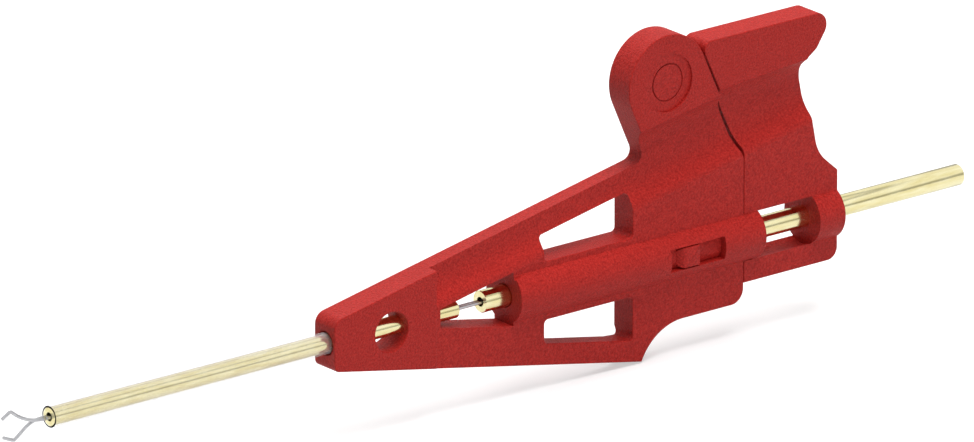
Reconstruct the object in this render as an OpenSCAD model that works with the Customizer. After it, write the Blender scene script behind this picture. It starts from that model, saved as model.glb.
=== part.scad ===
// Spring-loaded test clip for the fine legs of a chip, about 44 mm long.
// X runs along the barrel: 0 is the mouth that the hooks come out of, and +X points to the contact pin.
// Z is up, towards the ear and the wing. Y is across the flat body.
// It is drawn with the wing pressed up to the ear, so the hooks stand out of the barrel and are open.

/* [Barrel] */
// How far the barrel stands out of the nose
barrel_reach = 12.4; // [8:0.1:18]
// Outer diameter of the clear insulating sleeve
sleeve_d = 0.8; // [0.7:0.01:0.9]
// Wall of the sleeve
sleeve_wall = 0.06; // [0.04:0.01:0.08]
// Depth of the sleeve's seat in the nose
sleeve_seat = 1; // [0.5:0.1:1.8]
// Bore of the gold tube, which the hook wires run in
tube_bore_d = 0.33; // [0.32:0.01:0.4]
// How far the tube's rear end stands into the front window
tube_tail = 1.06; // [0.5:0.01:1.4]

/* [Hook wires] */
// Diameter of each wire
wire_d = 0.13; // [0.11:0.01:0.14]
// Gap between the two wires
wire_gap = 0.01; // [0.01:0.01:0.02]
// Radius of each hook's elbow, to the middle of the wire
elbow_r = 0.11; // [0.08:0.01:0.2]
// Upper hook: distance from the barrel's mouth to the start of its bend
upper_start = 0.2; // [0.1:0.01:0.6]
// Upper hook: radius of its bend
upper_bend_r = 2.3; // [0.8:0.1:3]
// Upper hook: angle that it bends away from the axis by, in degrees
upper_angle = 40.5; // [20:0.5:45]
// Upper hook: length from the end of the bend to the elbow
upper_arm = 0.1; // [0.09:0.01:0.4]
// Upper hook: angle that the tip turns in by, in degrees
upper_turn = 71; // [40:1:80]
// Upper hook: length of the turned-in tip
upper_tip = 0.45; // [0.3:0.01:0.6]
// Lower hook: distance from the barrel's mouth to the start of its bend
lower_start = 0.38; // [0.1:0.01:0.6]
// Lower hook: radius of its bend
lower_bend_r = 1.1; // [0.8:0.1:3]
// Lower hook: angle that it bends away from the axis by, in degrees
lower_angle = 36; // [20:1:45]
// Lower hook: length from the end of the bend to the elbow
lower_arm = 0.6; // [0.09:0.01:0.8]
// Lower hook: angle that the tip turns in by, in degrees
lower_turn = 59; // [40:1:80]
// Lower hook: length of the turned-in tip
lower_tip = 0.53; // [0.3:0.01:0.6]

/* [Nose and wedge] */
// Length of the front body from its nose face to its parting face
body_len = 18.89; // [18.4:0.01:20]
// Height of the nose face
nose_h = 1.9; // [1.7:0.1:2.4]
// Thickness of the nose block
nose_t = 1.17; // [1.12:0.01:1.4]
// Length of the nose block
nose_len = 4.66; // [4:0.01:5.2]
// Rounding of the nose's upper corner
nose_r = 0.45; // [0.1:0.05:0.6]
// Rounding of the nose's lower corner
chin_r = 0.25; // [0.1:0.05:0.6]
// Angle that each rail of the wedge leaves the axis by, in degrees
wedge_angle = 11; // [9:0.5:12]
// Length of the wedge from the nose face to its lower corner
wedge_len = 14.15; // [13.9:0.05:14.6]
// Thickness of the flat web
web_t = 1.1; // [1:0.01:1.16]
// Diameter of the hole across the nose
nose_hole_d = 1.5; // [1.1:0.05:1.6]
// Distance of that hole behind the nose face
nose_hole_back = 2.6; // [2.2:0.05:3]

/* [Rails and windows] */
// Height of each rail, between the wedge's edge and the window beside it
rail_h = 0.82; // [0.6:0.01:1]
// Thickness of the rails, which are thinned from one side only
rail_t = 0.67; // [0.5:0.01:0.9]
// Height of the thinned band, with its cove
rail_band = 1.45; // [1.2:0.01:1.5]
// Radius of the cove between the thinned band and the web
cove_r = 1.2; // [0.8:0.05:2]
// Length over which the thinned band runs out behind the windows
run_out = 1.6; // [1:0.1:2]
// Web in front of the front window, behind the nose block
window_lip = 0.18; // [0.1:0.01:0.5]
// Height of the front window at its front edge
front_window_h = 0.74; // [0.6:0.01:0.9]
// Front edge of the upper and lower windows, behind the nose face
side_window_back = 9.63; // [9.3:0.01:10]
// Length of the upper and lower windows
side_window_len = 4.1; // [3:0.1:4.3]
// Web left between these windows and the boss
window_sill = 0.08; // [0.05:0.01:0.2]
// Rounding of these windows' corners
window_r = 0.17; // [0.05:0.01:0.3]

/* [Boss] */
// Diameter of the round boss
boss_d = 2.07; // [1.95:0.01:2.2]
// Front end of the boss, behind the nose face
boss_back = 8.2; // [8:0.1:8.6]
// How far the boss runs on past the parting face, into the rear grip
boss_tail = 0.69; // [0.4:0.01:1]
// Wall at the front end of the boss
boss_wall = 1.2; // [0.8:0.1:1.5]
// Rear edge of the catch window, ahead of the parting face
catch_ahead = 1.21; // [1.1:0.01:1.4]
// Diameter of the spring chamber in the boss
chamber_d = 1.52; // [1.46:0.01:1.56]

/* [Belly and ear] */
// Depth of the belly below the axis
belly_drop = 2.46; // [2.2:0.01:2.8]
// Rounding of the belly's rear corner
belly_r = 0.55; // [0.2:0.05:0.6]
// Radius of the finger notch between the wedge and the belly
notch_r = 2.1; // [1.9:0.05:2.2]
// Radius of the ear
ear_r = 1.8; // [1.6:0.05:1.9]
// Height of the ear's centre above the axis
ear_height = 6.7; // [6.3:0.05:7]
// Distance of the ear's centre ahead of the parting face
ear_ahead = 3.59; // [3.4:0.01:3.8]
// Foot of the ear's front flank, ahead of the parting face
ear_foot = 4.27; // [4:0.01:4.4]
// Fillet at that foot
ear_fillet = 0.38; // [0.1:0.01:0.5]
// How far the crease under the ear lies below the ear's centre
ear_crease_drop = 1.47; // [1.2:0.01:1.7]
// Slant of that crease, in degrees
ear_crease_slant = 9; // [0:0.5:12]
// Thickness of the ear and of the wing
ear_t = 1.2; // [1.17:0.01:1.4]
// Height over which the ear and the wing swell from the web
swell = 2.4; // [1:0.1:2.6]
// Radius of the round dish in the ear's front face
dish_r = 1.1; // [0.9:0.05:1.3]
// Radius of the ring groove in the dish
ring_r = 0.72; // [0.5:0.01:0.8]
// Depth of the dish and of the groove
dish_depth = 0.05; // [0.02:0.01:0.08]

/* [Flank between the ear and the wing] */
// Foot of the flank above the axis, on the parting face
flank_foot_h = 3.06; // [2.8:0.01:3.4]
// How much higher the grip's parting face reaches, which opens a small gap there
flank_foot_step = 0.28; // [0.05:0.01:0.4]
// Rounding of the grip's flank beside the ear
flank_r = 0.5; // [0.2:0.05:0.5]

/* [Rear grip] */
// Length of the rear grip from its parting face to its rear face
grip_len = 4.39; // [4.2:0.01:5]
// Wall behind the round pocket, which carries the pin
rear_wall = 1.2; // [1:0.05:1.6]
// Depth of the grip below the axis
grip_drop = 1.73; // [1.4:0.01:2]
// Rounding of the grip's lower rear corner
grip_r = 0.45; // [0.2:0.05:0.6]
// Height of the grip's rear shoulder above the axis
grip_shoulder = 1.66; // [1.4:0.01:1.9]
// Length of the slope above the shoulder, up to the thumb hollow
shoulder_run = 0.94; // [0.6:0.01:1.2]
// Rise of that slope
shoulder_rise = 0.84; // [0.6:0.01:1]
// Rounding between the slope and the thumb hollow
shoulder_r = 1.5; // [0.5:0.1:2]
// Height of the wing's top above the ear's centre
wing_top = 1.17; // [1:0.01:1.4]
// Rounding of the wing's upper front corner
wing_lead_r = 0.3; // [0.1:0.05:0.6]
// Depth of the thumb hollow ahead of the rear face
thumb_depth = 1.65; // [1.4:0.01:1.9]
// How far the thumb hollow's deepest corner lies below the wing's top
thumb_drop = 1.75; // [1.6:0.01:1.9]
// Radius of the thumb hollow
thumb_r = 0.5; // [0.3:0.05:0.8]
// Lower corner of the wing's tip: distance ahead of the rear face
tip_ahead = 1.05; // [0.8:0.01:1.3]
// Lower corner of the wing's tip: distance below the wing's top
tip_drop = 1.34; // [1.1:0.01:1.5]
// Rounding of that corner
tip_low_r = 0.15; // [0.05:0.01:0.3]
// Radius of the wing's tip
tip_r = 0.5; // [0.3:0.01:0.55]
// How far the wing's tip stays ahead of the rear face
tip_back = 0.16; // [0:0.01:0.4]
// Start of the crease under the wing, behind the parting face
wing_crease_back = 0.7; // [0.3:0.05:1]
// How far that crease lies below the ear's centre there
wing_crease_drop = 0.71; // [0.5:0.01:0.9]
// Slant of that crease, in degrees
wing_crease_slant = 4.5; // [0:0.5:9]

/* [Pin, bush and spring] */
// Diameter of the contact pin behind the rear grip
pin_d = 0.8; // [0.6:0.01:0.84]
// Length of the contact pin behind the rear grip
pin_reach = 6.2; // [4:0.1:12]
// Chamfer on the end of the contact pin
pin_chamfer = 0.08; // [0.04:0.01:0.12]
// Diameter of the pin inside the clip
shank_d = 0.82; // [0.8:0.01:0.86]
// Diameter of the collar that anchors the pin in the rear grip
collar_d = 1.2; // [1.12:0.02:1.4]
// Length of that collar
collar_len = 0.7; // [0.6:0.05:0.7]
// Plastic behind the collar
collar_cover = 0.15; // [0.1:0.01:0.2]
// Distance from the tube's rear end to the pin's front end
pin_gap = 1.2; // [0.8:0.1:1.4]
// Diameter of the cup that the wires are soldered into
cup_d = 0.36; // [0.3:0.01:0.44]
// Depth of that cup
cup_depth = 2; // [1:0.1:3]
// How much of the cup is filled by solder
solder_len = 1.5; // [0.6:0.1:1.8]
// Length of the bush on the pin
bush_len = 2.7; // [2.3:0.05:2.9]
// Length of the catch lug on the bush
lug_len = 0.98; // [0.7:0.01:1.2]
// Height of the catch lug
lug_h = 0.76; // [0.5:0.01:0.8]
// Bush behind the catch lug
lug_setback = 0.92; // [0.6:0.01:1.1]
// How far the lug's face lies below the boss's surface
lug_sink = 0.06; // [0.02:0.01:0.1]
// Rounding of the lug's front face, in plan
lug_nose_r = 0.3; // [0.1:0.05:0.3]
// Diameter of the spring's wire
spring_wire = 0.15; // [0.12:0.01:0.17]
// Turns of the spring, with a closed one at each end
spring_turns = 12; // [9:1:14]

/* [Travel and clearances] */
// Travel of the front body on the pin
travel = 1.15; // [0.8:0.01:1.2]
// Room in front of the catch lug
lug_room = 0.38; // [0.1:0.01:0.5]
// Gap above and below the catch lug
lug_side_gap = 0.05; // [0.02:0.01:0.08]
// Running clearance of the pin and the bush, on the radius
slide_gap = 0.02; // [0.01:0.01:0.05]
// Gap between the two parting faces, and between the catch and its stop
parting_gap = 0.02; // [0.01:0.01:0.05]
// Gap between the ear and the wing
flank_gap = 0.06; // [0.03:0.01:0.1]
// Gap at each end of the spring
spring_gap = 0.005; // [0.002:0.001:0.01]

/* [Hidden] */
$fn = 48;
past = 0.5; // how far a cutter runs past the face that it opens
across = 4; // a cutter's size across the flat body
edge_r = 0.05; // rounding of the small moulded edges

// Places along the axis, from the barrel's mouth to the end of the pin
nose_x = barrel_reach;
block_end = nose_x + nose_len;
front_window_x = block_end + window_lip;
tube_end = front_window_x + tube_tail;
pin_front = tube_end + pin_gap;
boss_front = nose_x + boss_back;
chamber_front = boss_front + boss_wall;
side_window_x = nose_x + side_window_back;
side_window_end = side_window_x + side_window_len;
corner_x = nose_x + wedge_len;
parting_x = nose_x + body_len;
boss_end = parting_x + boss_tail;
ear_x = parting_x - ear_ahead;
wing_top_z = ear_height + wing_top;
grip_front = parting_x + parting_gap;
grip_rear = grip_front + grip_len;
pocket_end = grip_rear - rear_wall;
collar_rear = grip_rear - collar_cover;
collar_front = collar_rear - collar_len;
pin_end = grip_rear + pin_reach;

// The catch: the lug's rear face meets the rear of its window after the travel
catch_window_end = parting_x - catch_ahead;
lug_rear = catch_window_end - travel - parting_gap;
lug_front = lug_rear - lug_len;
catch_window_x = lug_front - lug_room;
bush_rear = lug_rear + lug_setback;
bush_front = bush_rear - bush_len;

// Radii
sleeve_r = sleeve_d / 2;
tube_r = sleeve_r - sleeve_wall;
tube_bore_r = tube_bore_d / 2;
wire_r = wire_d / 2;
wire_y = (wire_d + wire_gap) / 2;
boss_r = boss_d / 2;
chamber_r = chamber_d / 2;
pin_r = pin_d / 2;
shank_r = shank_d / 2;
bush_r = chamber_r - slide_gap;
lug_r = boss_r - lug_sink;
catch_window_h = lug_h + 2 * lug_side_gap;
collar_r = collar_d / 2;
spring_r = (shank_r + chamber_r) / 2;
spring_wire_r = spring_wire / 2;

// Heights of the wedge's edge and of the start of the thinned band at a place along the axis
function wedge_h(x) = nose_h / 2 + (x - nose_x) * tan(wedge_angle);
function band_h(x) = wedge_h(x) - rail_band;

// Points of an arc about c, from angle a0 to a1 in degrees
function arc(c, r, a0, a1, step = 9) =
    let (n = ceil(abs(a1 - a0) / step))
    [for (i = [0:n]) [c[0] + r * cos(a0 + (a1 - a0) * i / n), c[1] + r * sin(a0 + (a1 - a0) * i / n), 0]];

// How much of each side a rounding of radius 1 takes, at the corner p between a and b
function takes(a, p, b) = 1 / tan(acos((a - p) * (b - p) / norm(a - p) / norm(b - p)) / 2);

// The corner p between a and b, rounded to the radius p[2]
function corner(a, p, b) =
    p[2] == 0 ? [[p[0], p[1]]] :
    let (
        q = [p[0], p[1]],
        u = [a[0] - q[0], a[1] - q[1]] / norm([a[0] - q[0], a[1] - q[1]]),
        v = [b[0] - q[0], b[1] - q[1]] / norm([b[0] - q[0], b[1] - q[1]]),
        half = acos(u * v) / 2,
        c = q + (u + v) / norm(u + v) * p[2] / sin(half),
        s = q + u * p[2] / tan(half) - c,
        e = q + v * p[2] / tan(half) - c,
        a0 = atan2(s[1], s[0]),
        turn = (atan2(e[1], e[0]) - a0 + 900) % 360 - 180
    )
    [for (k = arc(c, p[2], a0, a0 + turn)) [k[0], k[1]]];

// An outline from points [x, z, rounding]
function rounded(p) =
    let (n = len(p))
    [for (i = [0:n - 1]) each corner(p[(i + n - 1) % n], p[i], p[(i + 1) % n])];

// Where the line from p touches the circle about c, on the side given by +1 or -1: an angle
function touch(c, r, p, side) =
    let (d = [p[0] - c[0], p[1] - c[1]])
    atan2(d[1], d[0]) + side * acos(r / norm(d));

// A flat outline in X and Z, stood up as a plate of thickness t about the middle plane
module plate(points, t) {
    rotate([90, 0, 0])
        linear_extrude(t, center = true)
            polygon(points);
}

// A round bar along X from x0 to x1
module bar(x0, x1, r) {
    translate([x0, 0, 0])
        rotate([0, 90, 0])
            cylinder(r = r, h = x1 - x0);
}

// A hole along Y through everything, at x and z
module cross_hole(x, z, r) {
    translate([x, 0, z])
        rotate([90, 0, 0])
            cylinder(r = r, h = across, center = true);
}

// Outline of the front body
ear_c = [ear_x, ear_height];
ear_root = [parting_x - ear_foot, wedge_h(parting_x - ear_foot)];
flank_angle = touch(ear_c, ear_r, [parting_x, flank_foot_h], 1);
notch_side = notch_r - (wedge_h(corner_x) - belly_drop);
notch_c = [corner_x + sqrt(notch_r * notch_r - notch_side * notch_side), -belly_drop - notch_r];
front_outline = rounded(concat(
    [[nose_x, -nose_h / 2, chin_r]],
    arc(notch_c, notch_r, atan2(notch_side, corner_x - notch_c[0]), 90),
    [
        [parting_x, -belly_drop, belly_r],
        [parting_x, flank_foot_h, 2 * edge_r]
    ],
    arc(ear_c, ear_r, flank_angle, touch(ear_c, ear_r, ear_root, -1) + 360),
    [
        [ear_root[0], ear_root[1], ear_fillet],
        [nose_x, nose_h / 2, nose_r]
    ]
));

// Outline of the rear grip, with the thumb hollow, the wing's tip and the flank beside the ear
// The wing's front edge is short: what its upper corner leaves of it limits the flank's rounding.
flank_top = ear_c + (ear_r + flank_gap) * [cos(flank_angle), sin(flank_angle)];
flank_low = [grip_front, flank_foot_h + flank_foot_step];
wing_lead = [ear_x + ear_r - flank_gap, wing_top_z];
lead_taken = wing_lead_r * takes([grip_rear - tip_back, wing_top_z], wing_lead, flank_top);
lead_left = norm(wing_lead - flank_top) - lead_taken;
flank_fit = max(0, min(flank_r, lead_left / takes(wing_lead, flank_top, flank_low)));
grip_outline = rounded([
    [grip_front, -grip_drop, 0],
    [grip_rear, -grip_drop, grip_r],
    [grip_rear, grip_shoulder, edge_r],
    [grip_rear - shoulder_run, grip_shoulder + shoulder_rise, shoulder_r],
    [grip_rear - thumb_depth, wing_top_z - thumb_drop, thumb_r],
    [grip_rear - tip_ahead, wing_top_z - tip_drop, tip_low_r],
    [grip_rear - tip_back, wing_top_z, tip_r],
    [wing_lead[0], wing_lead[1], wing_lead_r],
    [flank_top[0], flank_top[1], flank_fit],
    [flank_low[0], flank_low[1], edge_r]
]);

// Thickness of the ear and the wing, which swells out of the web below a slanting crease
module swollen(points, crease, slant) {
    proud = (ear_t - web_t) / 2;
    r = (swell * swell + proud * proud) / (2 * proud);
    steps = 6;
    side = [for (i = [0:steps])
        let (s = swell * i / steps)
        [web_t / 2 + r - sqrt(r * r - s * s), s - swell]];
    section = concat(side, [[ear_t / 2, wing_top_z]]);
    mirrored = [for (i = [len(section) - 1:-1:0]) [-section[i][0], section[i][1]]];
    intersection() {
        plate(points, ear_t);
        translate([crease[0], 0, crease[1]])
            rotate([0, -slant, 0])
                rotate([90, 0, 90])
                    linear_extrude(body_len, center = true)
                        polygon(concat(section, mirrored));
    }
}

// The floor that the rails are thinned to, and the width of a cove that climbs from it by a depth
floor_y = web_t / 2 - rail_t;
function cove_width(depth) = sqrt(cove_r * cove_r - (cove_r - depth) * (cove_r - depth));

// Places a cutter on the trough's floor, along a slanting line
module on_floor(start, slant) {
    translate([start[0], floor_y, start[1]])
        rotate([0, -slant, 0])
            children();
}

// The trough along the front: it thins the upper rail, and runs on under the crease of the ear or the wing.
// A cove bounds its flat floor on each side.
module trough(crease, slant) {
    low = [block_end, band_h(block_end) + cove_width(floor_y + web_t / 2) / cos(wedge_angle)];
    high = [crease[0], crease[1] + edge_r - cove_width(floor_y + ear_t / 2) / cos(slant)];
    run = 2 * body_len;
    intersection() {
        translate([block_end, -across, 0])
            cube([run, 2 * across, run]);
        union() {
            on_floor(low, wedge_angle)
                translate([0, -cove_r, 0])
                    rotate([0, 90, 0])
                        cylinder(r = cove_r, h = run, center = true, $fn = 96);
            on_floor(high, slant)
                translate([0, -cove_r, 0])
                    rotate([0, 90, 0])
                        cylinder(r = cove_r, h = run, center = true, $fn = 96);
            intersection() {
                on_floor(low, wedge_angle)
                    translate([-run / 2, -across, 0])
                        cube([run, across, run]);
                on_floor(high, slant)
                    translate([-run / 2, -across, -run])
                        cube([run, across, run]);
            }
        }
    }
}

// What thins the lower rail, which is cut from the back: a flat band that ends in a cove beside the window
module rail_cut() {
    cove_w = cove_width(floor_y + web_t / 2);
    band_end = side_window_end - run_out / 2;
    intersection() {
        translate([block_end, floor_y, band_h(block_end) + cove_w / cos(wedge_angle)])
            rotate([0, -wedge_angle, 0]) {
                translate([-past, -cove_r, 0])
                    rotate([0, 90, 0])
                        cylinder(r = cove_r, h = body_len, $fn = 96);
                translate([-past, -across, 0])
                    cube([body_len, across, rail_band + past]);
            }
        linear_extrude(2 * wedge_h(parting_x), center = true)
            polygon([
                [block_end, -across],
                [block_end, across],
                [band_end, across],
                [band_end, floor_y],
                [band_end + run_out, -nose_t / 2],
                [band_end + run_out, -across]
            ]);
    }
}

// The window between a rail and the boss, above the axis
module side_window() {
    sill = boss_r + window_sill;
    plate(rounded([
        [side_window_x, sill, window_r],
        [side_window_end, sill, window_r],
        [side_window_end, wedge_h(side_window_end) - rail_h, window_r],
        [side_window_x, wedge_h(side_window_x) - rail_h, window_r]
    ]), across);
}

// The window in front of the boss, which shows the tube, the wires and the pin
module front_window() {
    flare = (boss_front - front_window_x) * tan(wedge_angle);
    plate([
        [front_window_x, -front_window_h / 2],
        [boss_front, -front_window_h / 2 - flare],
        [boss_front, front_window_h / 2 + flare],
        [front_window_x, front_window_h / 2]
    ], across);
}

// Round dish with a ring groove in the ear's front face
module ear_dish() {
    translate([ear_x, -ear_t / 2 + dish_depth, ear_height])
        rotate([90, 0, 0])
            cylinder(r = dish_r, h = past);
    translate([ear_x, -ear_t / 2 + 2 * dish_depth, ear_height])
        rotate([90, 0, 0])
            difference() {
                cylinder(r = ring_r, h = past);
                translate([0, 0, -past])
                    cylinder(r = ring_r - dish_depth, h = 3 * past);
            }
}

// Moulded front body: nose, two rails, windows, boss, belly and ear in one piece
module front_body() {
    color("firebrick")
        difference() {
            union() {
                plate(front_outline, web_t);
                swollen(front_outline, [ear_x, ear_height - ear_crease_drop], ear_crease_slant);
                bar(boss_front, boss_end, boss_r);
                intersection() {
                    plate(front_outline, nose_t);
                    translate([nose_x, -nose_t, -nose_h])
                        cube([nose_len, 2 * nose_t, 2 * nose_h]);
                }
            }
            trough([ear_x, ear_height - ear_crease_drop], ear_crease_slant);
            rotate([180, 0, 0])
                rail_cut();
            side_window();
            mirror([0, 0, 1])
                side_window();
            front_window();
            cross_hole(nose_x + nose_hole_back, 0, nose_hole_d / 2);
            bar(nose_x - past, nose_x + sleeve_seat, sleeve_r);
            bar(nose_x - past, front_window_x + past, tube_r);
            bar(boss_front - past, chamber_front + past, shank_r + slide_gap);
            bar(chamber_front, boss_end + past, chamber_r);
            translate([catch_window_x, -across / 2, -catch_window_h / 2])
                cube([catch_window_end - catch_window_x, across / 2, catch_window_h]);
            ear_dish();
        }
}

// Gold-plated tube that the hook wires run in
module barrel_tube() {
    color("gold")
        difference() {
            bar(0, tube_end, tube_r);
            bar(-past, tube_end + past, tube_bore_r);
        }
}

// Clear insulating sleeve round the tube, seated in the nose
module barrel_sleeve() {
    color("ghostwhite")
        difference() {
            bar(0, nose_x + sleeve_seat, sleeve_r);
            bar(-past, nose_x + sleeve_seat + past, tube_r);
        }
}

// Moulded rear grip: a plate with a round pocket for the boss's tail, a round end for the pin, and the wing
module rear_grip() {
    wing_crease = [parting_x + wing_crease_back, ear_height - wing_crease_drop];
    color("firebrick")
        difference() {
            union() {
                difference() {
                    union() {
                        plate(grip_outline, web_t);
                        swollen(grip_outline, wing_crease, wing_crease_slant);
                    }
                    trough(wing_crease, wing_crease_slant);
                    bar(grip_front - past, pocket_end, boss_r + slide_gap);
                }
                bar(pocket_end, grip_rear, boss_r);
            }
            bar(pocket_end - past, collar_rear, shank_r);
            bar(collar_front, collar_rear, collar_r);
            bar(pocket_end - past, grip_rear + past, pin_r);
        }
}

// Gold-plated contact pin: its cup holds the wires, its collar is moulded in, and a lead goes on its rear end
module contact_pin() {
    color("gold")
        difference() {
            union() {
                bar(pin_front, collar_rear, shank_r);
                bar(collar_front, collar_rear, collar_r);
                bar(collar_front, pin_end - pin_chamfer, pin_r);
                translate([pin_end - pin_chamfer, 0, 0])
                    rotate([0, 90, 0])
                        cylinder(r1 = pin_r, r2 = pin_r - pin_chamfer, h = pin_chamfer);
            }
            bar(pin_front - past, pin_front + cup_depth, cup_d / 2);
        }
}

// Bush pressed on the pin: it guides the boss, seats the spring, and its lug rides in the catch window
module catch_bush() {
    round_r = lug_h / 2.4;
    color("firebrick")
        difference() {
            union() {
                bar(bush_front, bush_rear, bush_r);
                intersection() {
                    plate(rounded([
                        [lug_front, -lug_h / 2, round_r],
                        [lug_rear, -lug_h / 2, 0],
                        [lug_rear, lug_h / 2, 0],
                        [lug_front, lug_h / 2, round_r]
                    ]), across);
                    linear_extrude(lug_h, center = true)
                        polygon(rounded([
                            [lug_front, 0, 0],
                            [lug_front, edge_r - bush_r, 0],
                            [lug_front + lug_nose_r, -lug_r, lug_nose_r],
                            [lug_rear, -lug_r, edge_r / 2],
                            [lug_rear, 0, 0]
                        ]));
                }
            }
            bar(bush_front - past, bush_rear + past, shank_r);
        }
}

// Points of the spring's middle line: closed turns at both ends, open ones between
spring_from = chamber_front + spring_wire_r + spring_gap;
spring_to = bush_front - spring_wire_r - spring_gap;
closed_pitch = 1.15 * spring_wire;
open_pitch = (spring_to - spring_from - 2 * closed_pitch) / (spring_turns - 2);
function spring_x(u) =
    u < 1 ? spring_from + u * closed_pitch :
    u > spring_turns - 1 ? spring_to - (spring_turns - u) * closed_pitch :
    spring_from + closed_pitch + (u - 1) * open_pitch;

// Compression spring in the boss, a swept ring of wire sections
module plunger_spring() {
    per_turn = 16;
    sides = 6;
    rings = spring_turns * per_turn;
    points = [for (i = [0:rings], k = [0:sides - 1])
        let (u = i / per_turn, a = 360 * u, b = 360 * k / sides, r = spring_r + spring_wire_r * cos(b))
        [spring_x(u) + spring_wire_r * sin(b), r * cos(a), r * sin(a)]];
    skin = [for (i = [0:rings - 1], k = [0:sides - 1])
        let (a = i * sides + k, b = i * sides + (k + 1) % sides)
        [a, a + sides, b + sides, b]];
    first = [for (k = [0:sides - 1]) k];
    last = [for (k = [sides - 1:-1:0]) rings * sides + k];
    color("silver")
        polyhedron(points, concat(skin, [first, last]));
}

// Solder that holds both wires in the pin's cup
module wire_solder() {
    color("lightgrey")
        difference() {
            bar(pin_front + cup_depth - solder_len, pin_front + cup_depth, cup_d / 2);
            for (side = [-1, 1])
                translate([0, side * wire_y, 0])
                    bar(pin_front, pin_front + cup_depth, wire_r);
            translate([pin_front, -wire_y, -wire_r])
                cube([cup_depth, 2 * wire_y, wire_d]);
        }
}

// A bend in a wire that comes in along -X: it turns down by an angle, and children go on from its end
module wire_bend(r, angle) {
    translate([0, 0, -r]) {
        rotate([90, 0, 0])
            rotate([0, 0, 90])
                rotate_extrude(angle = angle)
                    translate([r, 0])
                        circle(r = wire_r);
        rotate([0, -angle, 0])
            translate([0, 0, r])
                children();
    }
}

// A hook wire: a straight run in the barrel, a bend ahead of its mouth, and a tip that turns back in
module hook_wire(start, bend_r, angle, arm, turn, tip) {
    set_back = elbow_r * tan(turn / 2);
    color("silver") {
        bar(-start, pin_front + cup_depth, wire_r);
        translate([-start, 0, 0])
            mirror([0, 0, 1])
                wire_bend(bend_r, angle) {
                    bar(set_back - arm, 0, wire_r);
                    translate([set_back - arm, 0, 0])
                        mirror([0, 0, 1])
                            wire_bend(elbow_r, turn)
                                bar(set_back - tip, 0, wire_r);
                }
    }
}

module upper_hook_wire() {
    translate([0, -wire_y, 0])
        hook_wire(upper_start, upper_bend_r, upper_angle, upper_arm, upper_turn, upper_tip);
}

module lower_hook_wire() {
    translate([0, wire_y, 0])
        mirror([0, 0, 1])
            hook_wire(lower_start, lower_bend_r, lower_angle, lower_arm, lower_turn, lower_tip);
}

front_body();
barrel_tube();
barrel_sleeve();
rear_grip();
contact_pin();
catch_bush();
plunger_spring();
wire_solder();
upper_hook_wire();
lower_hook_wire();
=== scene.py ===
import math

import bmesh
import bpy
from mathutils import Matrix, Vector


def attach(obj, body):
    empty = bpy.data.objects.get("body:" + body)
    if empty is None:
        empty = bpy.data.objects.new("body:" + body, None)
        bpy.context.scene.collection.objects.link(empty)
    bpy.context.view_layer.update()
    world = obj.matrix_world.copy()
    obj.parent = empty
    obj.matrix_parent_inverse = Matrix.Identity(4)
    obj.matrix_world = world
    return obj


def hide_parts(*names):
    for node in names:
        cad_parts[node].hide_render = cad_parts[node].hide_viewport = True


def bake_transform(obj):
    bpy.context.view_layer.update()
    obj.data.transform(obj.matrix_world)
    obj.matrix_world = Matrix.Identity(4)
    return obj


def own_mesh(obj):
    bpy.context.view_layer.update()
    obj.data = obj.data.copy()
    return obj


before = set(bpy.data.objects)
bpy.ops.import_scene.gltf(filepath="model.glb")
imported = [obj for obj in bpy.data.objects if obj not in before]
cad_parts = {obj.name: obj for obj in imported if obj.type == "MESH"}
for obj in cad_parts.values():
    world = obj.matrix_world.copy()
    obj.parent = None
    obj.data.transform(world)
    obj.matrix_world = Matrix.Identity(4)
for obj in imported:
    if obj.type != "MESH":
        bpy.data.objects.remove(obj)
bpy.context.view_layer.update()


# --------------------------------------------------------------- front body
# The nose, rails, windows, boss, belly and ear are one red nylon moulding.
# It comes out of a spark-eroded mould, so every face has a fine matt grain,
# and its small edges are slightly rounded. It slides on the contact pin.

mm = 0.001  # sizes are in mm: x runs along the barrel's axis from its mouth, z stands up from the axis
edge = 0.035  # rounding of the moulded edges

nose_x, nose_len, nose_h, nose_t = 12.4, 4.66, 1.9, 1.17
nose_top_r, nose_under_r = 0.45, 0.25
block_end = nose_x + nose_len
wedge_angle = math.radians(11)
corner_x, notch_r, belly_drop, belly_r = 26.55, 2.1, 2.46, 0.55  # the round notch and the belly behind it
parting_x, parting_top, parting_r = 31.29, 3.06, 0.1  # the upright face towards the grip
web_t, ear_t, swell = 1.1, 1.2, 2.4  # thickness of the web and of the ear, and the height between them
ear_x, ear_z, ear_r = 27.70, 6.7, 1.8
ear_foot_x, ear_foot_r = parting_x - 4.27, 0.38
ear_crease = ((ear_x, ear_z - 1.47), math.radians(9))  # the line that the ear is full thick above


def wedge_height(x):
    """Height of the wedge's sloping side above the axis."""
    return nose_h / 2 + (x - nose_x) * math.tan(wedge_angle)


def arc(centre, radius, start, stop, step=6):
    """Points on a circle from one angle to another, in degrees."""
    count = max(2, math.ceil(abs(stop - start) / step))
    turns = [math.radians(start + (stop - start) * i / count) for i in range(count + 1)]
    return [(centre[0] + radius * math.cos(t), centre[1] + radius * math.sin(t)) for t in turns]


def rounded(corners, step=6):
    """An outline from corners (x, z, radius), where a corner of radius 0 stays sharp."""
    outline = []
    for i, (x, z, radius) in enumerate(corners):
        here = Vector((x, z))
        if radius == 0:
            outline.append((x, z))
            continue
        before = (Vector(corners[i - 1][:2]) - here).normalized()
        after = (Vector(corners[(i + 1) % len(corners)][:2]) - here).normalized()
        half = math.acos(max(-1, min(1, before.dot(after)))) / 2
        centre = here + (before + after).normalized() * radius / math.sin(half)
        first = here + before * radius / math.tan(half) - centre
        last = here + after * radius / math.tan(half) - centre
        start = math.degrees(math.atan2(first.y, first.x))
        sweep = (math.degrees(math.atan2(last.y, last.x)) - start + 540) % 360 - 180
        outline += arc(centre, radius, start, start + sweep, step)
    return outline


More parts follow.
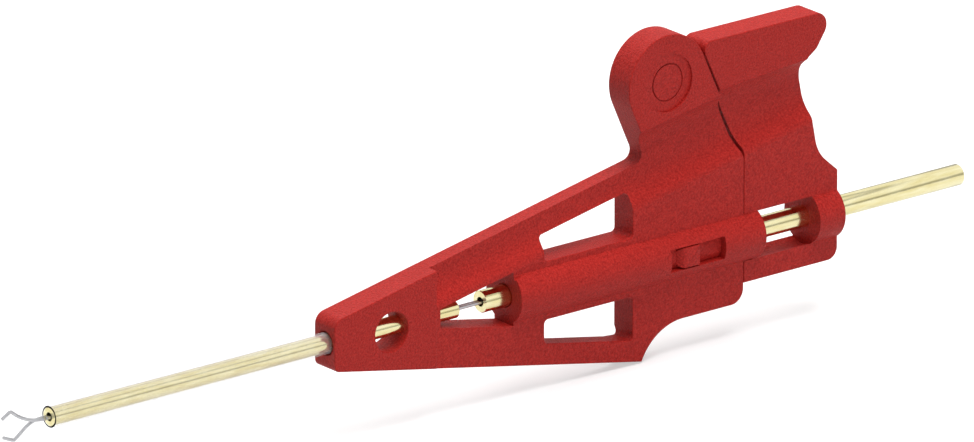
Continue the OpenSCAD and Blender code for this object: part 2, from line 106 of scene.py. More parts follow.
def inset(outline, by):
    """The outline moved inward by a small distance, or outward where by is negative."""
    count = len(outline)
    area = sum(outline[i - 1][0] * outline[i][1] - outline[i][0] * outline[i - 1][1] for i in range(count))
    side = 1 if area > 0 else -1
    moved = []
    for i in range(count):
        here = Vector(outline[i])
        coming = (here - Vector(outline[i - 1])).normalized()
        going = (Vector(outline[(i + 1) % count]) - here).normalized()
        inward = Vector((-coming.y, coming.x)) * side
        middle = inward + Vector((-going.y, going.x)) * side
        if middle.length > 1e-6:
            here += middle * (by / max(0.3, middle.dot(inward)))
        moved.append(tuple(here))
    return moved


def quarter(radius, steps=3):
    """A quarter round: how far each point is in from the side, and down from the face."""
    turns = [math.pi / 2 * i / steps for i in range(steps + 1)]
    return [(radius * (1 - math.cos(t)), radius * (1 - math.sin(t))) for t in turns]


def stood(name, mesh):
    """Closes a bmesh off as a solid in the scene."""
    bmesh.ops.recalc_face_normals(mesh, faces=mesh.faces)
    data = bpy.data.meshes.new(name)
    mesh.to_mesh(data)
    mesh.free()
    solid = bpy.data.objects.new(name, data)
    bpy.context.scene.collection.objects.link(solid)
    return solid


def lofted(name, rings):
    """A closed solid through rings of points (x, y, z), where every ring has as many."""
    mesh = bmesh.new()
    loops = [[mesh.verts.new(Vector(point) * mm) for point in ring] for ring in rings]
    for low, high in zip(loops, loops[1:]):
        for i in range(len(low)):
            mesh.faces.new((low[i - 1], low[i], high[i], high[i - 1]))
    mesh.faces.new(loops[0])
    mesh.faces.new(list(reversed(loops[-1])))
    return stood(name, mesh)


def stacked(name, layers):
    """A closed solid from layers (outline, y) of an outline in X and Z."""
    return lofted(name, [[(x, y, z) for x, z in outline] for outline, y in layers])


def plate(name, outline, thick, soft=edge):
    """An outline stood up as a plate about the middle plane, with its two rims rounded."""
    far = [(inset(outline, by), thick / 2 - down) for by, down in reversed(quarter(soft))]
    near = [(ring, -y) for ring, y in reversed(far)]
    return stacked(name, far + near)


def mouth(name, outline, thick):
    """A cutter for a hole through a plate: it flares at both faces, which rounds the hole's rims."""
    far = [(inset(outline, -by), thick / 2 - down) for by, down in quarter(edge)]
    far.append((inset(outline, -edge), thick / 2 + 1))
    near = [(ring, -y) for ring, y in reversed(far)]
    return stacked(name, near + far)


def turned(name, profile, sides=96):
    """A solid turned about the barrel's axis, from a closed profile of (x, radius)."""
    mesh = bmesh.new()
    columns = []
    for k in range(sides):
        t = 2 * math.pi * k / sides
        column = []
        for i, (x, radius) in enumerate(profile):
            if radius == 0 and k > 0:
                column.append(columns[0][i])
            else:
                column.append(mesh.verts.new((x * mm, radius * mm * math.cos(t), radius * mm * math.sin(t))))
        columns.append(column)
    for k in range(sides):
        here, there = columns[k - 1], columns[k]
        for i in range(len(profile)):
            corners = list(dict.fromkeys((here[i - 1], here[i], there[i], there[i - 1])))
            if len(corners) > 2:
                mesh.faces.new(corners)
    return stood(name, mesh)


def to_axis(profile):
    """Closes a profile of (x, radius) on the axis at both of its ends."""
    return [(profile[0][0], 0)] + profile + [(profile[-1][0], 0)]


def combined(piece, other, how):
    """Joins, cuts or keeps the shared part of two solids, and uses the second one up."""
    step = piece.modifiers.new("shape", "BOOLEAN")
    step.operation, step.object, step.solver = how, other, "MANIFOLD"
    bpy.context.view_layer.update()
    graph = bpy.context.evaluated_depsgraph_get()
    data = bpy.data.meshes.new_from_object(piece.evaluated_get(graph))
    piece.modifiers.clear()
    piece.data = data
    bpy.data.objects.remove(other)
    return piece


def smoothed(piece):
    """Shades a piece smooth apart from its real edges, with large faces kept flat."""
    mesh = bmesh.new()
    mesh.from_mesh(piece.data)
    bmesh.ops.remove_doubles(mesh, verts=mesh.verts, dist=1e-7)
    bmesh.ops.dissolve_degenerate(mesh, edges=mesh.edges, dist=1e-7)
    mesh.to_mesh(piece.data)
    mesh.free()
    piece.data.shade_smooth()
    piece.data.set_sharp_from_angle(angle=math.radians(32))
    weigh = piece.modifiers.new("flat faces", "WEIGHTED_NORMAL")
    weigh.keep_sharp, weigh.weight = True, 100
    return piece


def touch(centre, radius, point, side):
    """The angle at which a line from a point touches a circle."""
    away = Vector(point) - Vector(centre)
    return math.degrees(math.atan2(away.y, away.x)) + side * math.degrees(math.acos(radius / away.length))


ear_root = (ear_foot_x, wedge_height(ear_foot_x))
root_angle = touch((ear_x, ear_z), ear_r, ear_root, -1) + 360
flank_angle = touch((ear_x, ear_z), ear_r, (parting_x, parting_top), 1)
notch_side = notch_r - (wedge_height(corner_x) - belly_drop)
notch = (corner_x + math.sqrt(notch_r ** 2 - notch_side ** 2), -belly_drop - notch_r)
notch_start = math.degrees(math.atan2(notch_side, corner_x - notch[0]))
body_outline = rounded(
    [(nose_x, -nose_h / 2, nose_under_r)]
    + [(x, z, 0) for x, z in arc(notch, notch_r, notch_start, 90, 4)]
    + [(parting_x, -belly_drop, belly_r), (parting_x, parting_top, parting_r)]
    + [(x, z, 0) for x, z in arc((ear_x, ear_z), ear_r, flank_angle, root_angle, 4)]
    + [(*ear_root, ear_foot_r), (nose_x, nose_h / 2, nose_top_r)])
nose_outline = rounded([
    (nose_x, -nose_h / 2, nose_under_r), (block_end, -wedge_height(block_end), 0),
    (block_end, wedge_height(block_end), 0), (nose_x, nose_h / 2, nose_top_r)])


def swelling(name, crease, slant, steps=24):
    """The space that the ear and the wing swell in: from the web's thickness up to their own."""
    proud = (ear_t - web_t) / 2
    radius = (swell ** 2 + proud ** 2) / (2 * proud)
    rise = [(web_t / 2 + radius - math.sqrt(radius ** 2 - (swell * i / steps) ** 2), swell * (i / steps - 1))
            for i in range(steps + 1)] + [(ear_t / 2 + 0.2, 8)]
    section = rise + [(-y, z) for y, z in reversed(rise)]
    start, turn = Vector((crease[0], 0, crease[1])), Matrix.Rotation(-slant, 3, "Y")
    return lofted(name, [[start + turn @ Vector((x, y, z)) for y, z in section] for x in (-12, 12)])


front = plate("front_moulding", body_outline, web_t)
ear_part = combined(plate("ear", body_outline, ear_t), swelling("swell", *ear_crease), "INTERSECT")
combined(front, ear_part, "UNION")
combined(front, plate("nose_block", nose_outline, nose_t), "UNION")

boss_r, boss_front, boss_end = 1.035, 20.6, 31.98
boss_rim = list(reversed(quarter(0.03, 4)))
boss = turned("boss", to_axis([(boss_front + down, boss_r - by) for by, down in boss_rim]
                              + [(boss_end - by, boss_r - down) for by, down in boss_rim]))
combined(front, boss, "UNION")

floor_t, cove_r, crown_r, band = 0.67, 1.2, 0.6, 1.45  # the trough leaves a floor this thick
floor_y = web_t / 2 - floor_t
web_depth, ear_depth = floor_y + web_t / 2, floor_y + ear_t / 2
trough_end, crease_lap = 36.5, 0.05
thin_end, thin_gone, thin_h = 25.33, 26.93, 1.2  # where the lower rail's thin stretch ends and runs out
clear = 3  # how far a cutter stands out of the part


def cove(depth):
    """A cove that climbs from the thinned floor by a depth and a little more: points (y, how far along)."""
    sweep = math.acos((cove_r - depth - 0.15) / cove_r)
    return [(floor_y - cove_r + cove_r * math.cos(sweep * i / 20), cove_r * math.sin(sweep * i / 20))
            for i in range(21)]


def cove_width(depth):
    """How wide a cove is where it meets a face at that depth."""
    return math.sqrt(cove_r ** 2 - (cove_r - depth) ** 2)


def soft_cove(depth):
    """A cove whose upper end turns gently into the web's face."""
    climb = math.acos(1 - depth / (cove_r + crown_r))
    shift = ((cove_r + crown_r) * math.sin(climb) - cove_width(depth)) / 2
    points = [(floor_y - cove_r * (1 - math.cos(climb * i / 12)), cove_r * math.sin(climb * i / 12) - shift)
              for i in range(13)]
    flat, y, along = math.radians(8), *points[-1]
    for i in range(1, 11):
        t = climb + (flat - climb) * i / 10
        points.append((y - crown_r * (math.cos(t) - math.cos(climb)),
                       along + crown_r * (math.sin(climb) - math.sin(t))))
    y, along = points[-1]
    return points + [(y - 0.3 * math.sin(flat), along + 0.3 * math.cos(flat)), (y - 0.5, along + 0.3)]


def band_line(x):
    """The lower side of the thinned floor, beside the cove over the windows."""
    return wedge_height(x) - band + cove_width(web_depth) / math.cos(wedge_angle)


def trough(name, crease, slant):
    """The trough along the front: a thinned floor between two coves, which ends under the crease."""
    low, high = soft_cove(web_depth), cove(ear_depth)
    rings = []
    for x in (block_end, trough_end):
        under = crease[1] + crease_lap + (x - crease[0]) * math.tan(slant)
        under -= cove_width(ear_depth) / math.cos(slant)
        rings.append([(x, y, band_line(x) - along / math.cos(wedge_angle)) for y, along in reversed(low)]
                     + [(x, y, under + along / math.cos(slant)) for y, along in high]
                     + [(x, -clear, under + high[-1][1]), (x, -clear, band_line(x) - low[-1][1])])
    return lofted(name, rings)


def rail_cut(name):
    """What thins the lower rail, cut from the back: a flat band that ends in a cove and runs out."""
    low = cove(web_depth)
    rings = []
    for x, sink in ((block_end, 0), (thin_end, 0), (thin_gone, floor_y + nose_t / 2)):
        top, bottom = -band_line(x), -band_line(x) - thin_h
        rings.append([(x, sink - y, top + along / math.cos(wedge_angle)) for y, along in reversed(low)]
                     + [(x, sink - floor_y, bottom), (x, sink + clear, bottom),
                        (x, sink + clear, top + low[-1][1] / math.cos(wedge_angle))])
    return lofted(name, rings)


combined(front, trough("trough", *ear_crease), "DIFFERENCE")
combined(front, rail_cut("lower_rail_cut"), "DIFFERENCE")

sill, window_x, window_end, window_r, rail_h = boss_r + 0.08, 22.03, 26.13, 0.17, 0.82
for sign in (1, -1):
    outline = rounded([
        (window_x, sign * sill, window_r), (window_end, sign * sill, window_r),
        (window_end, sign * (wedge_height(window_end) - rail_h), window_r),
        (window_x, sign * (wedge_height(window_x) - rail_h), window_r)])
    combined(front, mouth("side_window", outline, web_t), "DIFFERENCE")

open_x, open_h = 17.24, 0.37
boss_open_h = open_h + (boss_front - open_x) * math.tan(wedge_angle)
opening = [(open_x, -open_h), (boss_front, -boss_open_h), (boss_front, boss_open_h), (open_x, open_h)]
combined(front, stacked("front_window", [(opening, -2), (opening, 2)]), "DIFFERENCE")

hole_x, hole_r = nose_x + 2.6, 0.75
combined(front, mouth("nose_hole", arc((hole_x, 0), hole_r, 0, 348), nose_t), "DIFFERENCE")

sleeve_r, sleeve_end, tube_r = 0.40, 13.39, 0.34
pin_r, tail_r, run_r = 0.41, 0.40, 0.43  # the pin ahead of its collar and behind it, and the bore it runs in
seat_r, chamber_r, chamber_front = 0.47, 0.76, 21.8
for name, profile in (
        ("barrel_seat", [(nose_x - 1.4, seat_r), (nose_x + 0.01, seat_r), (nose_x + 0.06, 0.445),
                         (nose_x + 0.4, 0.44), (nose_x + 0.5, sleeve_r), (sleeve_end + 0.01, sleeve_r)]),
        ("tube_bore", [(13, tube_r), (17.6, tube_r)]),
        ("pin_bore", [(20, run_r + 0.03), (boss_front, run_r + 0.03), (boss_front + 0.03, run_r),
                      (22, run_r)]),
        ("spring_chamber", [(chamber_front, chamber_r), (32.5, chamber_r)])):
    combined(front, turned(name, to_axis(profile), 64), "DIFFERENCE")

catch_front, catch_rear, catch_h = 27.55, 30.08, 0.43
catch = [(catch_front, -catch_h), (catch_rear, -catch_h), (catch_rear, catch_h), (catch_front, catch_h)]
combined(front, stacked("catch_window", [(catch, -2), (catch, 0)]), "DIFFERENCE")

dish_r, dish_y, dish_lean = 1.1, 0.55, 2  # the dish in the ear's front face, leaning by some degrees
ring_in, ring_out, ring_y = 0.67, 0.72, 0.48
for name, lean, profile in (
        ("ear_dish", dish_lean, to_axis([(dish_y, dish_r), (1.2, dish_r)])),
        ("ring_groove", 0, [(ring_y + 0.01, ring_in), (ring_y, ring_in + 0.01), (ring_y, ring_out - 0.01),
                            (ring_y + 0.01, ring_out), (0.9, ring_out), (0.9, ring_in)])):
    cutter = turned(name, profile)
    cutter.matrix_world = (Matrix.Translation((ear_x * mm, 0, ear_z * mm))
                           @ Matrix.Rotation(math.radians(lean), 4, (0.707, 0, 0.707))
                           @ Matrix.Rotation(-math.pi / 2, 4, "Z"))
    combined(front, cutter, "DIFFERENCE")


def blank(name):
    """A new material, with its nodes, its links and its shader."""
    material = bpy.data.materials.new(name)
    material.use_nodes = True
    nodes, links = material.node_tree.nodes, material.node_tree.links
    return material, nodes, links, nodes["Principled BSDF"]


def noise(nodes, links, scale, detail=2, rough=0.5):
    """A noise that is fixed to the piece; its scale is one number, or one for each axis."""
    place = nodes.new("ShaderNodeTexCoord")
    stretch = nodes.new("ShaderNodeMapping")
    stretch.inputs["Scale"].default_value = scale if isinstance(scale, tuple) else (scale, scale, scale)
    links.new(place.outputs["Object"], stretch.inputs["Vector"])
    speckle = nodes.new("ShaderNodeTexNoise")
    for socket, value in (("Scale", 1), ("Detail", detail), ("Roughness", rough)):
        speckle.inputs[socket].default_value = value
    links.new(stretch.outputs["Vector"], speckle.inputs["Vector"])
    return speckle.outputs["Fac"]


def tones(nodes, links, source, dark, light, low=0, high=1):
    """A colour that goes from dark to light while the source climbs from low to high."""
    ramp = nodes.new("ShaderNodeValToRGB")
    start, end = ramp.color_ramp.elements
    start.position, start.color = low, dark
    end.position, end.color = high, light
    links.new(source, ramp.inputs["Fac"])
    return ramp.outputs["Color"]


def relief(nodes, links, source, strength, distance):
    """A fine surface relief that follows the source."""
    bump = nodes.new("ShaderNodeBump")
    bump.inputs["Strength"].default_value = strength
    bump.inputs["Distance"].default_value = distance
    links.new(source, bump.inputs["Height"])
    return bump.outputs["Normal"]


def grained_nylon():
    """Red nylon with a fine spark-eroded grain."""
    material, nodes, links, shader = blank("red_nylon")
    shader.inputs["Roughness"].default_value = 0.55
    shader.inputs["Specular IOR Level"].default_value = 0.24
    grain = noise(nodes, links, 13500, detail=3, rough=0.65)
    red = tones(nodes, links, grain, (0.268, 0.0084, 0.0062, 1), (0.54, 0.0290, 0.0225, 1), 0.3, 0.72)
    drift = nodes.new("ShaderNodeMixRGB")
    drift.blend_type = "MULTIPLY"
    drift.inputs["Color2"].default_value = (0.94, 0.90, 0.90, 1)
    links.new(noise(nodes, links, 420), drift.inputs["Fac"])
    links.new(red, drift.inputs["Color1"])
    links.new(drift.outputs["Color"], shader.inputs["Base Color"])
    links.new(relief(nodes, links, grain, 1.0, 0.00004), shader.inputs["Normal"])
    return material


def finished(piece, body, slot, material, *nodes):
    """Gives a piece its material and its CAD body, and hides the CAD nodes that it stands for. The slot is
    not used.
    """
    piece.data.materials.clear()
    piece.data.materials.append(material)
    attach(piece, body)
    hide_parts(*nodes)


red_nylon = grained_nylon()
finished(smoothed(front), "housing", "red_plastic", red_nylon, "front_body")


# ---------------------------------------------------------------- rear grip
# The wing that the thumb presses, the round pocket that the boss's tail runs
# in, and the round end that is moulded round the pin are one red moulding.

grip_front, grip_rear, grip_drop = 31.31, 35.70, 1.73
wing_top, wing_gap, pocket_end, pocket_r = 7.87, 0.06, 34.50, 1.055
collar_front, collar_rear, collar_r = 34.85, 35.55, 0.6
flank = math.radians(flank_angle)
flank_r = ear_r + wing_gap
grip_outline = rounded([
    (grip_front, -grip_drop, 0), (grip_rear, -grip_drop, 0.45), (grip_rear, 1.66, 0.05),
    (grip_rear - 0.94, 2.5, 1.5), (grip_rear - 1.65, 6.12, 0.5), (grip_rear - 1.05, 6.53, 0.15),
    (grip_rear - 0.16, wing_top, 0.5), (ear_x + ear_r - wing_gap, wing_top, 0.3),
    (ear_x + flank_r * math.cos(flank), ear_z + flank_r * math.sin(flank), 0.5), (grip_front, 3.34, 0.05)])
wing_crease = ((parting_x + 0.7, ear_z - 0.71), math.radians(4.5))
grip = plate("rear_moulding", grip_outline, web_t)
wing = combined(plate("wing", grip_outline, ear_t), swelling("wing_swell", *wing_crease), "INTERSECT")
combined(grip, wing, "UNION")
combined(grip, trough("grip_trough", *wing_crease), "DIFFERENCE")
combined(grip, turned("pocket", to_axis([(30.8, pocket_r), (pocket_end, pocket_r)])), "DIFFERENCE")
round_end = [(pocket_end, boss_r)] + [(grip_rear - by, boss_r - down) for by, down in boss_rim]
combined(grip, turned("round_end", to_axis(round_end)), "UNION")
pin_hole = [(34, pin_r), (collar_front, pin_r), (collar_front, collar_r), (collar_rear, collar_r),
            (collar_rear, tail_r), (36.4, tail_r)]
combined(grip, turned("pin_hole", to_axis(pin_hole), 64), "DIFFERENCE")
finished(smoothed(grip), "plunger", "red_plastic", red_nylon, "rear_grip")


# ------------------------------------------------------------------- barrel
# A gold-plated tube is pressed into the nose, and a clear insulating film is
# shrunk on it. The film is cut square at the mouth, where its cut end is
# painted near black as painted shade.

tube_end, tube_bore_r = 18.3, 0.165


def gold_plated():
    """Gold plate over drawn brass: faint dents and drawing marks run along the metal."""
    material, nodes, links, shader = blank("gold_plate")
    shader.inputs["Metallic"].default_value = 1
    marks = noise(nodes, links, (900, 5200, 5200), detail=3)
    gold = tones(nodes, links, marks, (0.86, 0.76, 0.38, 1), (0.97, 0.90, 0.56, 1), 0.35, 0.65)
    links.new(gold, shader.inputs["Base Color"])
    gloss = nodes.new("ShaderNodeMapRange")
    gloss.inputs["To Min"].default_value, gloss.inputs["To Max"].default_value = 0.10, 0.24
    links.new(marks, gloss.inputs["Value"])
    links.new(gloss.outputs["Result"], shader.inputs["Roughness"])
    links.new(relief(nodes, links, marks, 0.25, 0.00001), shader.inputs["Normal"])
    return material


gold_plate = gold_plated()
tube = turned("tube", [
    (0, tube_bore_r), (0, tube_r - 0.015), (0.015, tube_r),
    (tube_end - 0.02, tube_r), (tube_end, tube_r - 0.015), (tube_end, tube_bore_r)])
finished(smoothed(tube), "housing", "gold_plate", gold_plate, "barrel_tube")


def reckoned(nodes, links, how, *values):
    """The result of a sum on numbers and sockets."""
    step = nodes.new("ShaderNodeMath")
    step.operation = how
    for socket, value in zip(step.inputs, values):
        if isinstance(value, bpy.types.NodeSocket):
            links.new(value, socket)
        else:
            socket.default_value = value
    return step.outputs["Value"]


def film():
    """Clear film: seen through face on, and milky towards its edges."""
    material, nodes, links, shader = blank("clear_film")
    shader.inputs["Roughness"].default_value = 0.12
    shader.inputs["Base Color"].default_value = (0.80, 0.77, 0.79, 1)
    shader.inputs["IOR"].default_value = 1.42
    edge_on = nodes.new("ShaderNodeLayerWeight")
    edge_on.inputs["Blend"].default_value = 0.14
    haze = noise(nodes, links, 2500)
    milky = reckoned(nodes, links, "MULTIPLY_ADD", haze, 0.04, edge_on.outputs["Facing"])
    links.new(reckoned(nodes, links, "MULTIPLY", milky, 0.8), shader.inputs["Alpha"])
    return material


def cut_end_painted_shade():
    """Painted shade: the clear film's cut end coloured near black, for the dark seen there."""
    material, nodes, links, shader = blank("cut_film_painted_shade")
    shader.inputs["Roughness"].default_value = 0.5
    shader.inputs["Specular IOR Level"].default_value = 0.05
    black = tones(nodes, links, noise(nodes, links, 9000), (0.001, 0.001, 0.001, 1), (0.012, 0.011, 0.009, 1))
    links.new(black, shader.inputs["Base Color"])
    return material


sleeve = turned("sleeve", [
    (0, tube_r + 0.002), (0, sleeve_r - 0.005), (0.01, sleeve_r), (sleeve_end, sleeve_r),
    (sleeve_end, tube_r + 0.002)])
finished(smoothed(sleeve), "housing", "clear_sleeve", film(), "barrel_sleeve")
# the faces of the film's end at the mouth get the near-black painted shade
sleeve.data.materials.append(cut_end_painted_shade())
for face in sleeve.data.polygons:
    if face.center.x < 0.02 * mm:
        face.material_index = 1


# -------------------------------------------------------------- contact pin
# One turned gold-plated pin. Its front end has a cup for the hook wires, a
# collar anchors it in the grip, and a test lead goes on its rear end.

pin_front, pin_end, cup_r, cup_end = 19.50, 41.90, 0.18, 21.50
pin = turned("pin", [
    (pin_front, cup_r), (pin_front, pin_r - 0.025), (pin_front + 0.025, pin_r), (collar_front, pin_r),
    (collar_front, collar_r), (collar_rear, collar_r), (collar_rear, tail_r), (pin_end - 0.08, tail_r),
    (pin_end - 0.05, 0.385), (pin_end - 0.02, 0.355), (pin_end, 0.32), (pin_end, 0),
    (cup_end, 0), (cup_end, cup_r)])
finished(smoothed(pin), "plunger", "gold_plate", gold_plate, "contact_pin")


# --------------------------------------------------------------- hook wires
# Two hard-drawn steel wires lie side by side in the barrel, fixed in the pin's
# cup. Each bends away ahead of the mouth, and its tip turns back in as a hook.
# The barrel runs out over the hooks and shuts them, so the slide flattens them.

wire_r, wire_y, elbow_r = 0.065, 0.07, 0.11
lean = math.radians(65)  # angle between the wire and the line that its hook flattens along


def bare_metal(name, light, dark, rough=0.3):
    """Bare metal with faint marks along it."""
    material, nodes, links, shader = blank(name)
    shader.inputs["Metallic"].default_value = 1
    shader.inputs["Roughness"].default_value = rough
    links.new(tones(nodes, links, noise(nodes, links, (1500, 16000, 16000)), dark, light),
              shader.inputs["Base Color"])
    return material


def swept(name, path, radius, sides=20):
    """A round wire along a path in one XZ plane, with its ends slightly domed."""
    last = len(path) - 1
    stations = [(i, 1, 0.35 * ((i == 0) - (i == last))) for i in range(len(path))]
    rings = []
    for i, share, shift in [(0, 0.55, 0)] + stations + [(last, 0.55, 0)]:
        ahead = (path[min(i + 1, last)] - path[max(i - 1, 0)]).normalized()
        side, up = Vector((0, 1, 0)), Vector((0, 1, 0)).cross(ahead)
        centre = path[i] + ahead * radius * shift
        turns = [2 * math.pi * k / sides for k in range(sides)]
        rings.append([centre + radius * share * (side * math.cos(t) + up * math.sin(t)) for t in turns])
    return lofted(name, rings)


def hook_path(side, start, bend_r, angle, arm, turn, tip):
    """The middle line of a hook, from the start of its bend to the end of its tip."""
    set_back = elbow_r * math.tan(math.radians(turn) / 2)
    x, z, heading = -start, 0.0, 0.0
    points = [Vector((x, -side * wire_y, 0))]
    for length, sweep in ((math.radians(angle) * bend_r, angle), (arm - set_back, 0),
                          (math.radians(turn) * elbow_r, -turn), (tip - set_back, 0)):
        steps = max(2, math.ceil(abs(sweep) / 4))
        for _ in range(steps):
            middle = math.radians(heading + sweep / steps / 2)
            x -= length / steps * math.cos(middle)
            z += length / steps * math.sin(middle)
            heading += sweep / steps
            points.append(Vector((x, -side * wire_y, side * z)))
    return points


# each hook: its side, how much of it is left when it is shut, and the sizes that hook_path takes
hook_steel = bare_metal("hook_steel", (0.74, 0.74, 0.76, 1), (0.42, 0.42, 0.44, 1))
for name, side, keep, start, *bends in (
        ("upper", 1, 0.52, 0.2, 2.3, 40.5, 0.1, 71, 0.45),
        ("lower", -1, 0.44, 0.38, 1.1, 36, 0.6, 59, 0.53)):
    node = name + "_hook_wire"
    straight = [Vector((-start, -side * wire_y, 0)), Vector((cup_end, -side * wire_y, 0))]
    run = swept(name + "_wire_run", straight, wire_r)
    finished(smoothed(run), "plunger", "hook_wire", hook_steel, node)
    hook = swept(name + "_hook", hook_path(side, start, *bends), wire_r)
    finished(hook, "plunger", "hook_wire", hook_steel, node)
    hook.data.shade_smooth()
    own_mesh(hook)


# --------------------------------------------------------------- catch bush
# A moulded bush is pressed on the pin, and the boss slides over it. Its lug,
# round in front and square behind, rides in the catch window and stops there.

bush_front, bush_rear, bush_r = 27.13, 30.13, 0.74
lug_front, lug_rear, lug_h, lug_r, lug_nose_r = 27.93, 28.91, 0.38, 0.975, 0.317
bush = turned("bush", to_axis([
    (bush_front, bush_r - 0.03), (bush_front + 0.03, bush_r), (bush_rear - 0.03, bush_r),
    (bush_rear, bush_r - 0.03)]))
lug_side = rounded([
    (lug_front, -lug_h, lug_nose_r), (lug_rear, -lug_h, 0.02), (lug_rear, lug_h, 0.02),
    (lug_front, lug_h, lug_nose_r)], 4)
lug_plan = rounded([
    (lug_front, 0, 0), (lug_front, -0.69, 0), (lug_front + 0.3, -lug_r, 0.3), (lug_rear, -lug_r, 0),
    (lug_rear, 0, 0)], 3)
lug = combined(plate("lug", lug_side, 2 * lug_r, 0.03),
               lofted("lug_plan", [[(x, y, z) for x, y in lug_plan] for z in (-1, 1)]), "INTERSECT")
combined(bush, lug, "UNION")
combined(bush, turned("bush_bore", to_axis([(26, pin_r), (31, pin_r)])), "DIFFERENCE")
finished(smoothed(bush), "plunger", "red_plastic", red_nylon, "catch_bush")


# ------------------------------------------------------------------- spring
# A compression spring of bright steel wire round the pin, with closed ends.
# It pushes the bush away from the front of the boss, and gives with the slide.

spring_r, spring_wire_r, spring_gap, spring_turns = 0.585, 0.075, 0.005, 12
spring_front = chamber_front + spring_wire_r + spring_gap
spring_rear = bush_front - spring_wire_r - spring_gap
closed_pitch = 2.3 * spring_wire_r


def coiled(name, start, stop, radius, wire, turns, steps=40, sides=14):
    """A spring about the barrel's axis, with one closed turn at each end."""
    pitch = (stop - start - 2 * closed_pitch) / (turns - 2)
    rings = []
    for i in range(turns * steps + 1):
        turn = i / steps
        open_turns = min(max(turn - 1, 0), turns - 2)
        x = start + pitch * open_turns + closed_pitch * (turn - open_turns)
        heading = 2 * math.pi * turn
        ring = []
        for k in range(sides):
            t = 2 * math.pi * k / sides
            out = radius + wire * math.cos(t)
            ring.append((x + wire * math.sin(t), out * math.cos(heading), out * math.sin(heading)))
        rings.append(ring)
    return lofted(name, rings)


spring = coiled("spring", spring_front, spring_rear, spring_r, spring_wire_r, spring_turns)
spring.data.materials.append(bare_metal("spring_wire", (0.62, 0.62, 0.64, 1), (0.42, 0.42, 0.44, 1)))
spring.data.shade_smooth()
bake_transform(spring)
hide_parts("plunger_spring")


# ------------------------------------------------------------------- solder
# A plug of solder fixes both wires in the pin's cup. It has crept up the
# cup's wall, so its front is hollow.

solder = turned("solder", [
    (20.06, 0), (20.055, 0.08), (20.03, 0.14), (20.0, cup_r), (cup_end, cup_r), (cup_end, 0)], 48)
slot_ring = arc((wire_y, 0), wire_r, -90, 90, 15) + arc((-wire_y, 0), wire_r, 90, 270, 15)
combined(solder, lofted("wire_slot", [[(x, y, z) for y, z in slot_ring] for x in (19, 22)]), "DIFFERENCE")
solder_grey = bare_metal("solder_grey", (0.60, 0.60, 0.60, 1), (0.42, 0.42, 0.43, 1), rough=0.5)
finished(smoothed(solder), "plunger", "solder", solder_grey, "wire_solder")


# ------------------------------------------------------------------- studio
# The clip lies just above plain white paper, in a white room. Soft lamps hang
# above, behind and in front of it. The metal mirrors the room, not the lamps.

floor_z = -3.75


def paper(name, grey, glow):
    """White paper that also glows for the camera, and less so in the metal."""
    material, nodes, links, shader = blank(name)
    shader.inputs["Roughness"].default_value = 1
    shader.inputs["Specular IOR Level"].default_value = 0
    shader.inputs["Base Color"].default_value = (grey, grey, grey, 1)
    ray = nodes.new("ShaderNodeLightPath").outputs
    mirrored = reckoned(nodes, links, "MULTIPLY", ray["Is Glossy Ray"], 0.3)
    seen = reckoned(nodes, links, "MAXIMUM", ray["Is Camera Ray"], mirrored)
    seen = reckoned(nodes, links, "MAXIMUM", seen, ray["Is Transmission Ray"])
    light = nodes.new("ShaderNodeEmission")
    links.new(reckoned(nodes, links, "MULTIPLY", seen, glow), light.inputs["Strength"])
    both = nodes.new("ShaderNodeAddShader")
    links.new(shader.outputs["BSDF"], both.inputs[0])
    links.new(light.outputs["Emission"], both.inputs[1])
    links.new(both.outputs["Shader"], nodes["Material Output"].inputs["Surface"])
    return material


bpy.ops.mesh.primitive_plane_add(size=6, location=(0.02, 0, floor_z * mm))
floor = bpy.context.object
floor.name = "floor"
floor.data.materials.append(paper("white_paper", 0.6, 0.5))


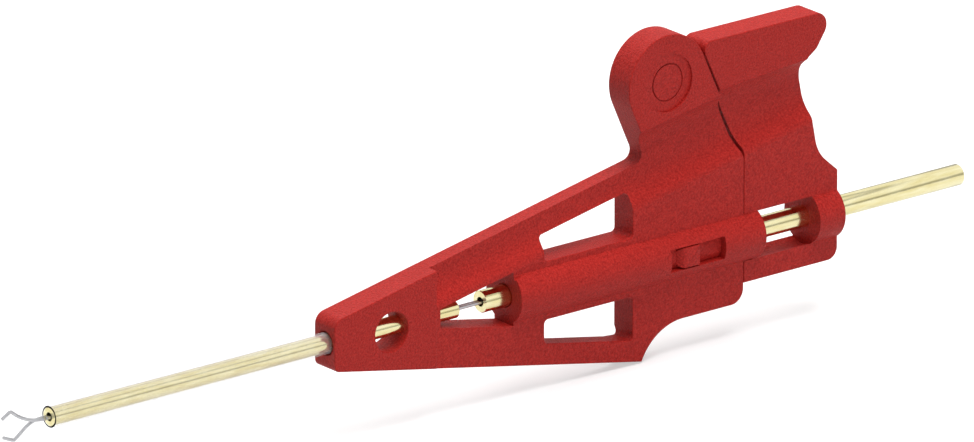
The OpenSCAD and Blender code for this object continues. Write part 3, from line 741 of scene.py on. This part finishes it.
def white_room():
    """A room that is white to the eye and dim as a light. Metal mirrors it with grey bands."""
    world = bpy.data.worlds.new("studio")
    world.use_nodes = True
    nodes, links = world.node_tree.nodes, world.node_tree.links
    ray = nodes.new("ShaderNodeLightPath").outputs
    height = nodes.new("ShaderNodeSeparateXYZ")
    links.new(nodes.new("ShaderNodeTexCoord").outputs["Generated"], height.inputs["Vector"])
    wall = nodes.new("ShaderNodeValToRGB")
    wall.color_ramp.elements[0].color = (0.40, 0.40, 0.40, 1)
    # from the horizon at 0 to straight up at 1
    for place, grey in ((0.17, 0.48), (0.28, 1.0), (0.64, 1.0), (0.70, 0.3), (0.76, 1.0)):
        wall.color_ramp.elements.new(place).color = (grey, grey, grey, 1)
    links.new(height.outputs["Z"], wall.inputs["Fac"])
    mirrored = nodes.new("ShaderNodeMapRange")
    mirrored.inputs["To Min"].default_value = 0.07
    links.new(ray["Is Glossy Ray"], mirrored.inputs["Value"])
    links.new(wall.outputs["Color"], mirrored.inputs["To Max"])
    strength = nodes.new("ShaderNodeMapRange")
    strength.inputs["To Max"].default_value = 1.0
    seen = reckoned(nodes, links, "MAXIMUM", ray["Is Camera Ray"], ray["Is Transmission Ray"])
    links.new(seen, strength.inputs["Value"])
    links.new(mirrored.outputs["Result"], strength.inputs["To Min"])
    nodes["Background"].inputs["Color"].default_value = (1, 1, 1, 1)
    links.new(strength.outputs["Result"], nodes["Background"].inputs["Strength"])
    return world


def lamp(name, place, size, power):
    """A soft square lamp that points at the clip and isn't mirrored in it."""
    light = bpy.data.lights.new(name, "AREA")
    light.size, light.energy = size, power
    holder = bpy.data.objects.new(name, light)
    holder.location = place
    holder.rotation_euler = (Vector((0.022, 0, 0.002)) - Vector(place)).to_track_quat("-Z", "Y").to_euler()
    holder.visible_glossy = False
    bpy.context.scene.collection.objects.link(holder)


lamp("top_light", (0.03, -0.02, 0.32), 0.22, 0.86)
lamp("back_light", (0.05, 0.18, 0.27), 0.25, 0.48)
lamp("steep_light", (0.02, -0.10, 0.30), 0.12, 0.30)
lamp("front_light", (0.0, -0.34, 0.07), 0.25, 0.54)

scene = bpy.context.scene
scene.world = white_room()
scene.view_settings.view_transform = "Standard"

azimuth, elevation, distance = math.radians(-38.85), math.radians(19.13), 0.72594
target = Vector((0.019818, 0, 0.002993))
away = Vector((math.sin(azimuth) * math.cos(elevation), -math.cos(azimuth) * math.cos(elevation),
               math.sin(elevation)))
camera = bpy.data.objects.new("camera", bpy.data.cameras.new("camera"))
camera.data.lens, camera.data.sensor_width = 750, 36
camera.data.clip_start, camera.data.clip_end = 0.01, 5
camera.location = target + away * distance
camera.rotation_euler = (-away).to_track_quat("-Z", "Y").to_euler()
scene.collection.objects.link(camera)
scene.camera = camera
